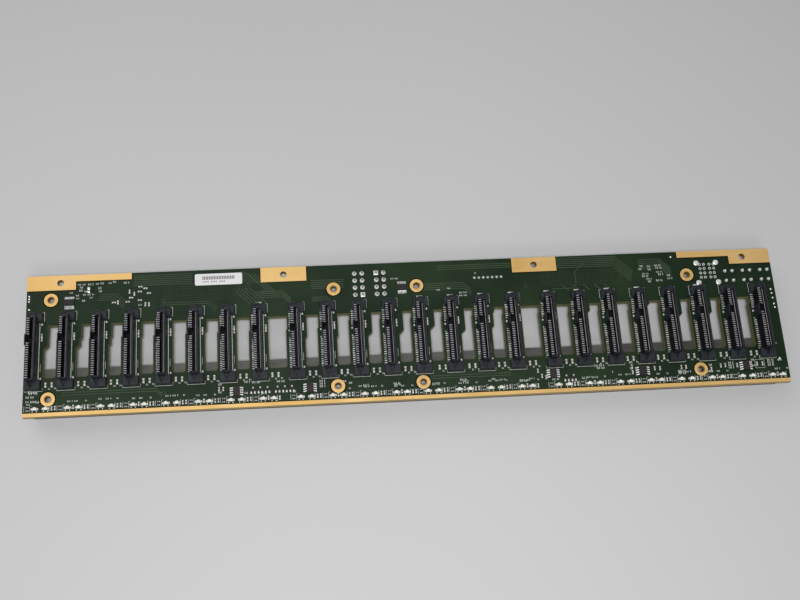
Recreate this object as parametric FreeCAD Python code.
# Drive backplane board: a long circuit board with a row of upright drive connectors on
# its front, and the cable headers and the stiffener bar that it lies on at its back.
#
# Units are millimetres. The board lies flat with its front up: X runs along it, Y from
# the lamp edge to the cable edge, +Z is up. The origin is the centre of the footprint, at
# the height of the surface that the board lies on. Places on the board are measured from
# its left end and from its lamp edge, and moved to the origin when a node is written.
import FreeCAD, Part
import math
import os
from FreeCAD import Vector

# ---- driving dimensions: the board ----
board_length = 418.0
board_width = 79.4
board_thickness = 3.2
header_height = 12.8  # the cable headers hold the board this far up
back_z = header_height
front_z = back_z + board_thickness

# ---- drive connectors: three banks of eight ----
drives_per_bank = 8
bank_count = 3
drive_pitch = 17.2
bank_step = 20.3  # from the last connector of a bank to the first of the next
first_drive_x = 4.9

# ---- airflow slots between the connectors ----
slot_low_y = 21.2
slot_high_y = 50.3
slot_left_gap = 5.2  # from the connector on the left to the slot
slot_right_gap = 5.4
slot_corner_cut = 0.9  # at the two low corners
slot_relief = 0.6  # the upper part of a slot is this much wider on its right
relief_start_left_half = 42.4
relief_start_right_half = 46.4
# slot number: (how far the left edge moves in, height at which it starts), once or twice
slot_steps = {
    1: [(2.2, 36.9)],
    2: [(1.9, 36.9), (0.8, 41.9)],
    3: [(0.9, 37.9), (0.7, 42.4)],
    4: [(0.6, 41.9)],
    6: [(1.1, 43.4)],
    9: [(0.9, 37.4)],
    10: [(0.8, 36.9)],
    11: [(2.3, 36.9)],
    12: [(2.5, 37.1)],
    13: [(2.7, 38.9)],
    14: [(2.4, 35.9)],
    15: [(1.3, 38.4), (0.9, 47.4)],
    18: [(1.5, 44.9)],
    20: [(1.4, 47.4)],
    21: [(2.1, 40.1)],
    22: [(2.1, 40.4)],
}

# ---- mounting holes ----
ring_hole_radius = 1.7
ring_outer_radius = 3.75
ring_columns_x = (13.1, 167.3, 213.7, 368.3)
ring_rows_y = (9.3, 65.2)
edge_hole_radius = 1.85
edge_hole_columns_x = (18.0, 139.8, 281.0, 401.9)
edge_hole_y = 74.95

# ---- bare plated ground areas ----
plating_thickness = 0.1
plating_flats = 16  # the thin plating's round edges are drawn with this many flats
plating_low_strip = 2.0
plating_tab_depth = 8.6
plating_thin_depth = 3.7
plating_end_tab_length = 26.3
plating_left_strip_length = 56.5
plating_right_strip_length = 54.0
plating_right_tab_length = 24.0
plating_middle_tabs_x = ((127.2, 152.5), (268.4, 293.8))

# ---- one drive connector, measured from its centre line and the board's front ----
body_left = -2.45
body_right = 2.3
body_height = 9.1
body_low_y = 18.55
body_high_y = 55.9
mouth_left = -1.45  # the contacts stand along this wall
mouth_right = 0.8  # the drive's tongue slides in between the contacts and this wall
mouth_floor = 1.6
mouth_low_y = 19.3
mouth_high_y = 52.4
ledge_right = 1.35  # the mouth's right wall steps back to here above the ledge
ledge_z = 7.1
key_low_y = 37.5
key_high_y = 43.5
key_bulge = 0.8
low_wing_left = -3.9
low_wing_right = 4.45
low_wing_y = (14.25, 19.3)
low_wing_height = 3.4
funnel_middle = -0.33
funnel_half_width = 1.9
funnel_depth = 2.0
funnel_tip_wall = 0.8
high_wing_left = -3.6
high_wing_right = 4.6
high_wing_y = (52.4, 57.1)
high_wing_height = 3.0

# ---- contacts: two groups on one pitch ----
contact_pitch = 1.27
contact_width = 0.62
power_contact_count = 15
power_contact_y = 19.9
signal_contact_count = 7
signal_contact_y = 44.03
contact_foot_x = (-1.45, -0.85)
contact_top_x = -1.15
contact_top_z = 7.0

# ---- small parts on the front ----
led_x = (1.5, 7.3)  # from the connector's centre line
led_y = 4.3
led_base_length = 2.8
led_lens_length = 2.2
led_width = 1.5
led_height = 0.9
chip_height = 1.6
# chip centre x, y, body size along x, along y, and whether its leads point along x
chips = (
    (23.1, 63.1, 5.0, 3.9, False),
    (205.4, 64.4, 4.9, 3.9, False),
    (112.7, 8.8, 3.9, 4.9, True),
    (152.1, 9.0, 3.9, 4.9, True),
    (285.3, 10.6, 3.9, 4.9, True),
    (335.3, 9.7, 4.6, 4.9, True),
    (393.8, 10.0, 3.9, 4.9, True),
)
label_box = (91.0, 70.4, 26.0, 6.7)
label_thickness = 0.12

# ---- cable headers on the back ----
cell_pitch = 4.2
cell_opening = 3.3
cell_depth = 9.6
header_wall = 1.05
latch_reach = 0.9
latch_height = 3.4
latch_width = 4.4
power_header_columns_x = (179.3, 191.4)  # the left column of posts of each header
power_header_row_y = 61.2
power_header_rows = 4
aux_header_columns_x = (390.8, 401.1, 411.3)
aux_header_rows_y = (60.8, 66.6)
aux_header_width = 9.2
aux_header_span = 11.2
post_size = 1.1
post_reach = 10.0  # how far a post stands below the board
post_stub = 0.9  # how far it stands above
sideband_pin_count = 7
sideband_pitch = 2.53
sideband_first_x = 246.7
sideband_y = 68.55
sideband_post_size = 0.64
sideband_shell = (19.9, 5.8, 9.0)
sideband_wall = 0.9
sideband_floor = 2.5
sideband_reach = 7.5

# ---- signal connectors on the back ----
signal_centres_x = (97.0, 307.5)
signal_y = 67.3
signal_length = 46.0
signal_width = 12.0
signal_height = 12.0
signal_wall = 1.4
signal_blade = 2.2
signal_blade_short = 1.2  # the blade ends this far inside the mouth
signal_floor = 2.0

# ---- shielded service socket on the back ----
shell_centre = (380.5, 66.15)
shell_legs_x = 5.7
shell_legs_y = 5.95
shell_wall = 0.4
shell_size = (11.8, 13.8, 10.6)
shell_leg_width = 1.3
shell_leg_stub = 0.8
insert_floor = 2.0
insert_blade = (6.4, 5.4, 8.2)

# ---- stiffener bar on the back ----
stiffener_low_y = 2.9
stiffener_high_y = 26.9
stiffener_inset = 3.0
stiffener_metal = 1.2
film_thickness = 0.3
film_high_y = 20.4
screw_window = 9.0  # square windows round the low row of screw holes


def box(x, y, z, length, width, height):
    """A block with its low corner at x, y, z."""
    return Part.makeBox(length, width, height, Vector(x, y, z))


def centred_box(x, y, z, size):
    """A block that stands on height z, centred on x, y."""
    return box(x - size[0] / 2, y - size[1] / 2, z, size[0], size[1], size[2])


def plate(outline, z, height):
    """A flat outline of x, y points, raised into a solid."""
    points = [Vector(x, y, z) for x, y in outline]
    return Part.Face(Part.makePolygon(points + points[:1])).extrude(Vector(0, 0, height))


def rail(section, y, length):
    """A section of x, z points, carried along the board's width."""
    points = [Vector(x, y, z) for x, z in section]
    return Part.Face(Part.makePolygon(points + points[:1])).extrude(Vector(0, length, 0))


def many_sided(x, y, z, radius, height):
    """A prism with plating_flats sides that just clears a circle of this radius."""
    corner_radius = radius / math.cos(math.pi / plating_flats)
    turns = [2 * math.pi * i / plating_flats for i in range(plating_flats)]
    outline = [(x + corner_radius * math.cos(turn), y + corner_radius * math.sin(turn)) for turn in turns]
    return plate(outline, z, height)


def write_node(name, solids):
    """Move the solids to the origin of the footprint and write them as one node."""
    shape = Part.makeCompound(solids) if len(solids) > 1 else solids[0]
    shape.translate(Vector(-board_length / 2, -board_width / 2, 0))
    shape.exportStep("parts/" + name + ".step")


def drive_centres():
    """The connectors' centre lines, from the left end of the board."""
    centres = []
    bank_length = (drives_per_bank - 1) * drive_pitch + bank_step
    for bank in range(bank_count):
        for place in range(drives_per_bank):
            centres.append(first_drive_x + bank * bank_length + place * drive_pitch)
    return centres


def ring_centres():
    return [(x, y) for y in ring_rows_y for x in ring_columns_x]


def power_header_pins(column_x):
    return [(column_x + column * cell_pitch, power_header_row_y + row * cell_pitch)
            for row in range(power_header_rows) for column in range(2)]


def aux_header_pins(column_x):
    return [(column_x + column * cell_pitch, y) for y in aux_header_rows_y for column in range(2)]


def sideband_pins():
    return [(sideband_first_x + i * sideband_pitch, sideband_y) for i in range(sideband_pin_count)]


def shell_leg_places():
    x, y = shell_centre
    return [(x + sx * shell_legs_x, y + sy * shell_legs_y) for sx in (-1, 1) for sy in (-1, 1)]


# ---- the board ----
def airflow_slot(number, left_drive, right_drive):
    """One cut-out: its left edge steps inwards at 45 degrees to clear the tracks."""
    left = left_drive + slot_left_gap
    right = right_drive - slot_right_gap
    relief_start = relief_start_left_half if number <= 9 else relief_start_right_half
    outline = [(right - slot_corner_cut, slot_low_y), (left + slot_corner_cut, slot_low_y)]
    outline.append((left, slot_low_y + slot_corner_cut))
    for inset, start_y in slot_steps.get(number, []):
        outline.append((left, start_y))
        left += inset
        outline.append((left, start_y + inset))
    outline.append((left, slot_high_y))
    outline.append((right + slot_relief, slot_high_y))
    outline.append((right + slot_relief, relief_start + slot_relief))
    outline.append((right, relief_start))
    outline.append((right, slot_low_y + slot_corner_cut))
    return plate(outline, back_z, board_thickness)


def circuit_board():
    board = box(0, 0, back_z, board_length, board_width, board_thickness)
    centres = drive_centres()
    cuts = [airflow_slot(i + 1, centres[i], centres[i + 1]) for i in range(len(centres) - 1)]
    for x, y in ring_centres():
        cuts.append(Part.makeCylinder(ring_hole_radius, board_thickness, Vector(x, y, back_z)))
    for x in edge_hole_columns_x:
        cuts.append(Part.makeCylinder(edge_hole_radius, board_thickness, Vector(x, edge_hole_y, back_z)))
    return board.cut(Part.makeCompound(cuts + post_holes()))


def post_holes():
    """The plated holes: each is filled by its square post or flat leg and the solder on it."""
    cells = []
    for column_x in power_header_columns_x:
        cells += power_header_pins(column_x)
    for column_x in aux_header_columns_x:
        cells += aux_header_pins(column_x)
    holes = [centred_box(x, y, back_z, (post_size, post_size, board_thickness)) for x, y in cells]
    fine = (sideband_post_size, sideband_post_size, board_thickness)
    holes += [centred_box(x, y, back_z, fine) for x, y in sideband_pins()]
    leg = (shell_wall, shell_leg_width, board_thickness)
    return holes + [centred_box(x, y, back_z, leg) for x, y in shell_leg_places()]


def ground_plating():
    """Bare plated copper: four areas on the cable edge, the lamp edge and the hole rings."""
    top = board_width
    tab = top - plating_tab_depth
    thin = top - plating_thin_depth
    left_strip = plating_left_strip_length
    right_strip = board_length - plating_right_strip_length
    right_tab = board_length - plating_right_tab_length
    left_area = [(0, tab), (plating_end_tab_length, tab), (plating_end_tab_length, thin), (left_strip, thin),
                 (left_strip, top), (0, top)]
    right_area = [(board_length, tab), (board_length, top), (right_strip, top), (right_strip, thin),
                  (right_tab, thin), (right_tab, tab)]
    areas = [plate(left_area, front_z, plating_thickness), plate(right_area, front_z, plating_thickness)]
    for left, right in plating_middle_tabs_x:
        areas.append(box(left, tab, front_z, right - left, plating_tab_depth, plating_thickness))
    holes = [many_sided(x, edge_hole_y, front_z, edge_hole_radius, plating_thickness)
             for x in edge_hole_columns_x]
    areas = [area.cut(Part.makeCompound(holes)) for area in areas]
    areas.append(box(0, 0, front_z, board_length, plating_low_strip, plating_thickness))
    for x, y in ring_centres():
        ring = many_sided(x, y, front_z, ring_outer_radius, plating_thickness)
        areas.append(ring.cut(many_sided(x, y, front_z, ring_hole_radius, plating_thickness)))
    return areas


# ---- the drive connectors ----
def drive_housing():
    """One moulded housing at x = 0: a tall mouth for the drive's tongue between two low wings.

    The mouth is narrow up to a ledge. Above the ledge it is wider and open at its low end.
    """
    bulged = body_left - key_bulge
    tower = plate([(body_left, body_low_y), (body_right, body_low_y), (body_right, body_high_y),
                   (body_left, body_high_y), (body_left, key_high_y), (bulged, key_high_y),
                   (bulged, key_low_y), (body_left, key_low_y)], 0, body_height)
    low_wing = box(low_wing_left, low_wing_y[0], 0, low_wing_right - low_wing_left,
                   low_wing_y[1] - low_wing_y[0], low_wing_height)
    high_wing = box(high_wing_left, high_wing_y[0], 0, high_wing_right - high_wing_left,
                    high_wing_y[1] - high_wing_y[0], high_wing_height)
    mouth = box(mouth_left, mouth_low_y, mouth_floor, mouth_right - mouth_left,
                mouth_high_y - mouth_low_y, body_height)
    upper_mouth = box(mouth_left, body_low_y, ledge_z, ledge_right - mouth_left,
                      mouth_high_y - body_low_y, body_height)
    key_pocket = box(body_left, key_low_y + key_bulge, mouth_floor, mouth_left - body_left,
                     key_high_y - key_low_y - 2 * key_bulge, body_height)
    funnel_outline = [(funnel_middle - funnel_half_width, body_low_y),
                      (funnel_middle, low_wing_y[0] + funnel_tip_wall),
                      (funnel_middle + funnel_half_width, body_low_y)]
    funnel = plate(funnel_outline, low_wing_height - funnel_depth, funnel_depth)
    housing = tower.multiFuse([low_wing, high_wing])
    return housing.cut(Part.makeCompound([mouth, upper_mouth, key_pocket, funnel])).removeSplitter()


def contact_rows():
    """The y places of the contacts: the power group and the signal group."""
    power = [power_contact_y + i * contact_pitch for i in range(power_contact_count)]
    signal = [signal_contact_y + i * contact_pitch for i in range(signal_contact_count)]
    return power + signal


def contact(x, y):
    """One contact: a blade that stands on the mouth's floor and tapers upwards."""
    low, high = contact_foot_x
    profile = [(low, mouth_floor), (high, mouth_floor), (contact_top_x, contact_top_z)]
    solid = rail(profile, y - contact_width / 2, contact_width)
    solid.translate(Vector(x, 0, front_z))
    return solid


# ---- small parts on the front ----
def status_led(x):
    """A white lamp whose ends lean in towards its lens."""
    base, lens, top = led_base_length / 2, led_lens_length / 2, front_z + led_height
    section = [(x - base, front_z), (x + base, front_z), (x + lens, top), (x - lens, top)]
    return rail(section, led_y - led_width / 2, led_width)


def chip_body(x, y, length, width, leads_along_x):
    """A moulded chip package: a block whose sides lean in above its leads."""
    section = [(-0.5, 0), (0.5, 0), (0.5, 0.5), (0.44, 1.0), (-0.44, 1.0), (-0.5, 0.5)]
    across, along = (length, width) if leads_along_x else (width, length)
    body = rail([(u * across, v * chip_height) for u, v in section], -along / 2, along)
    if not leads_along_x:
        body.rotate(Vector(0, 0, 0), Vector(0, 0, 1), 90)
    body.translate(Vector(x, y, front_z))
    return body


def blank_label():
    x, y, length, width = label_box
    return box(x, y, front_z, length, width, label_thickness)


# ---- cable headers on the back ----
def cell_header(centre, size, cells):
    """A header housing that opens downwards, with one square cell round each post."""
    housing = centred_box(centre[0], centre[1], 0, (size[0], size[1], header_height))
    pockets = [centred_box(x, y, 0, (cell_opening, cell_opening, cell_depth)) for x, y in cells]
    posts = [centred_box(x, y, cell_depth, (post_size, post_size, header_height)) for x, y in cells]
    return housing.cut(Part.makeCompound(pockets + posts))


def power_header(column_x, latch_side):
    """Two columns of four cells, with the ramp that the plug's latch snaps over."""
    length = cell_pitch + cell_opening + 2 * header_wall
    width = (power_header_rows - 1) * cell_pitch + cell_opening + 2 * header_wall
    x = column_x + cell_pitch / 2
    y = power_header_row_y + (power_header_rows - 1) * cell_pitch / 2
    housing = cell_header((x, y), (length, width), power_header_pins(column_x))
    face = x + latch_side * length / 2
    ramp = [(face, 0.6), (face + latch_side * latch_reach, latch_height), (face, latch_height)]
    return housing.fuse(rail(ramp, y - latch_width / 2, latch_width))


def aux_header(column_x):
    """A block of two by two cells."""
    centre = (column_x + cell_pitch / 2, sum(aux_header_rows_y) / 2)
    return cell_header(centre, (aux_header_width, aux_header_span), aux_header_pins(column_x))


def header_posts(cells, size, reach):
    """Square posts, soldered through the board and standing in their header's cells."""
    height = reach + board_thickness + post_stub
    return [centred_box(x, y, back_z - reach, (size, size, height)) for x, y in cells]


def sideband_header():
    """A low open-sided shell round one row of fine posts."""
    x = sideband_first_x + (sideband_pin_count - 1) * sideband_pitch / 2
    length, width, height = sideband_shell
    low_z = back_z - height
    shell = centred_box(x, sideband_y, low_z, sideband_shell)
    inside = (length - 2 * sideband_wall, width - 2 * sideband_wall, height - sideband_floor)
    posts = header_posts(sideband_pins(), sideband_post_size, sideband_reach)
    return shell.cut(Part.makeCompound([centred_box(x, sideband_y, low_z, inside)] + posts))


def signal_connector(x):
    """A long shrouded receptacle with one blade down its middle."""
    low_z = back_z - signal_height
    shroud = centred_box(x, signal_y, low_z, (signal_length, signal_width, signal_height))
    inside = (signal_length - 2 * signal_wall, signal_width - 2 * signal_wall, signal_height - signal_floor)
    blade_length = signal_length - 4 * signal_wall
    blade = centred_box(x, signal_y, low_z + signal_blade_short,
                        (blade_length, signal_blade, signal_height - signal_blade_short))
    return shroud.cut(centred_box(x, signal_y, low_z, inside)).fuse(blade)


def service_shell():
    """A folded metal shell, open downwards, with four legs soldered through the board."""
    x, y = shell_centre
    low_z = back_z - shell_size[2]
    inside = (shell_size[0] - 2 * shell_wall, shell_size[1] - 2 * shell_wall, shell_size[2])
    tube = centred_box(x, y, low_z, shell_size).cut(centred_box(x, y, low_z, inside))
    leg = (shell_wall, shell_leg_width, board_thickness + shell_leg_stub)
    legs = [centred_box(leg_x, leg_y, back_z, leg) for leg_x, leg_y in shell_leg_places()]
    return tube.multiFuse(legs).removeSplitter()


def service_insert():
    """The moulded insert that fills the shell's root and carries the contact blade."""
    x, y = shell_centre
    root = (shell_size[0] - 2 * shell_wall, shell_size[1] - 2 * shell_wall, insert_floor)
    blade = centred_box(x, y, back_z - insert_blade[2], insert_blade)
    return centred_box(x, y, back_z - insert_floor, root).fuse(blade)


# ---- the stiffener bar ----
def stiffener_bar():
    """A folded channel: its web lies under the board and its two legs reach the surface."""
    top = back_z - film_thickness
    low, high = stiffener_low_y, stiffener_high_y
    inner_low, inner_high, inner_top = low + stiffener_metal, high - stiffener_metal, top - stiffener_metal
    section = [(low, 0), (low, top), (high, top), (high, 0), (inner_high, 0), (inner_high, inner_top),
               (inner_low, inner_top), (inner_low, 0)]
    points = [Vector(stiffener_inset, y, z) for y, z in section]
    channel = Part.Face(Part.makePolygon(points + points[:1]))
    channel = channel.extrude(Vector(board_length - 2 * stiffener_inset, 0, 0))
    return channel.cut(Part.makeCompound(screw_windows(inner_top, stiffener_metal)))


def screw_windows(z, height):
    """A square window round each screw hole of the low row, so that a screw's nut or post fits in."""
    size = (screw_window, screw_window, height)
    return [centred_box(x, ring_rows_y[0], z, size) for x in ring_columns_x]


def bonding_film():
    """The insulating adhesive film that bonds the bar to the board, clear of the slots and holes."""
    low_z = back_z - film_thickness
    film = box(stiffener_inset, stiffener_low_y, low_z, board_length - 2 * stiffener_inset,
               film_high_y - stiffener_low_y, film_thickness)
    return film.cut(Part.makeCompound(screw_windows(low_z, film_thickness)))


os.makedirs("parts", exist_ok=True)
write_node("circuit_board", [circuit_board()])
write_node("ground_plating", ground_plating())
write_node("blank_label", [blank_label()])

housing_form = drive_housing()
for number, centre in enumerate(drive_centres(), start=1):
    housing = housing_form.copy()
    housing.translate(Vector(centre, 0, front_z))
    write_node("drive_connector_%02d" % number, [housing])
for bank in range(bank_count):
    bank_centres = drive_centres()[bank * drives_per_bank:(bank + 1) * drives_per_bank]
    contacts = [contact(x, y) for x in bank_centres for y in contact_rows()]
    write_node("drive_contacts_bank_%d" % (bank + 1), contacts)

write_node("status_leds", [status_led(centre + x) for centre in drive_centres() for x in led_x])
write_node("chip_packages", [chip_body(*chip) for chip in chips])

power_pins = [pin for column_x in power_header_columns_x for pin in power_header_pins(column_x)]
aux_pins = [pin for column_x in aux_header_columns_x for pin in aux_header_pins(column_x)]
write_node("power_header_left", [power_header(power_header_columns_x[0], -1)])
write_node("power_header_right", [power_header(power_header_columns_x[1], 1)])
write_node("power_header_posts", header_posts(power_pins, post_size, post_reach))
for number, column_x in enumerate(aux_header_columns_x, start=1):
    write_node("aux_header_%d" % number, [aux_header(column_x)])
write_node("aux_header_posts", header_posts(aux_pins, post_size, post_reach))
write_node("sideband_header", [sideband_header()])
write_node("sideband_posts", header_posts(sideband_pins(), sideband_post_size, sideband_reach))
write_node("signal_connector_left", [signal_connector(signal_centres_x[0])])
write_node("signal_connector_right", [signal_connector(signal_centres_x[1])])
write_node("service_socket_shell", [service_shell()])
write_node("service_socket_insert", [service_insert()])
write_node("stiffener_bar", [stiffener_bar()])
write_node("bonding_film", [bonding_film()])
